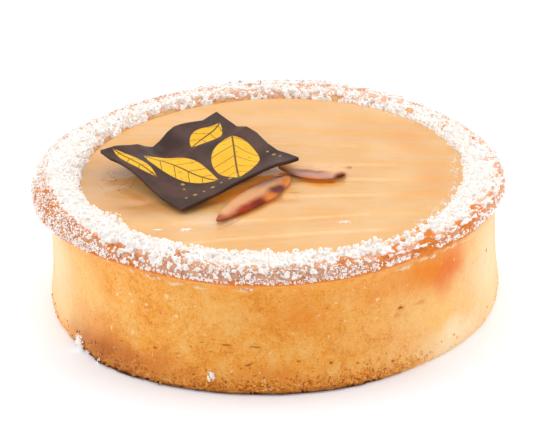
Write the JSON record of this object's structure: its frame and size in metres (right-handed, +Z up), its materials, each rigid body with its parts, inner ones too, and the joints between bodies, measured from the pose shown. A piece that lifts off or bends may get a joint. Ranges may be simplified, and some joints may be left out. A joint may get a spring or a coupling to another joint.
{
  "type": "pear almond tart",
  "caption": "Small round tart: a deep shortcrust case with a rolled, sugared rim, glazed pear fan, almond flakes and a square of dark chocolate.",
  "frame": {"origin": "centre of the tart's flat base, on the surface that it stands on", "axes": "+Z up through the pear; -Y towards the front, the side where the chocolate's lowest corner points; +X to the right"},
  "size_m": [0.085, 0.0847, 0.0273],
  "materials": {
    "crust": "baked shortcrust, golden brown, fine crumb, dusted with icing sugar on the rim",
    "pear": "poached pear under a clear set glaze, wet gloss",
    "almond": "toasted almond flake, cream face, red-brown skin, glazed",
    "chocolate": "thin dark chocolate with a satin sheen and a yellow and gold print"
  },
  "bodies": {
    "root": {"crust": "crust", "pear_slice_1": "pear", "pear_slice_2": "pear", "pear_slice_3": "pear", "pear_slice_4": "pear", "pear_slice_5": "pear", "pear_slice_6": "pear", "pear_slice_7": "pear", "pear_slice_8": "pear", "pear_slice_9": "pear", "almond_flake_front": "almond", "almond_flake_right": "almond", "chocolate_square": "chocolate"}
  },
  "joints": []
}
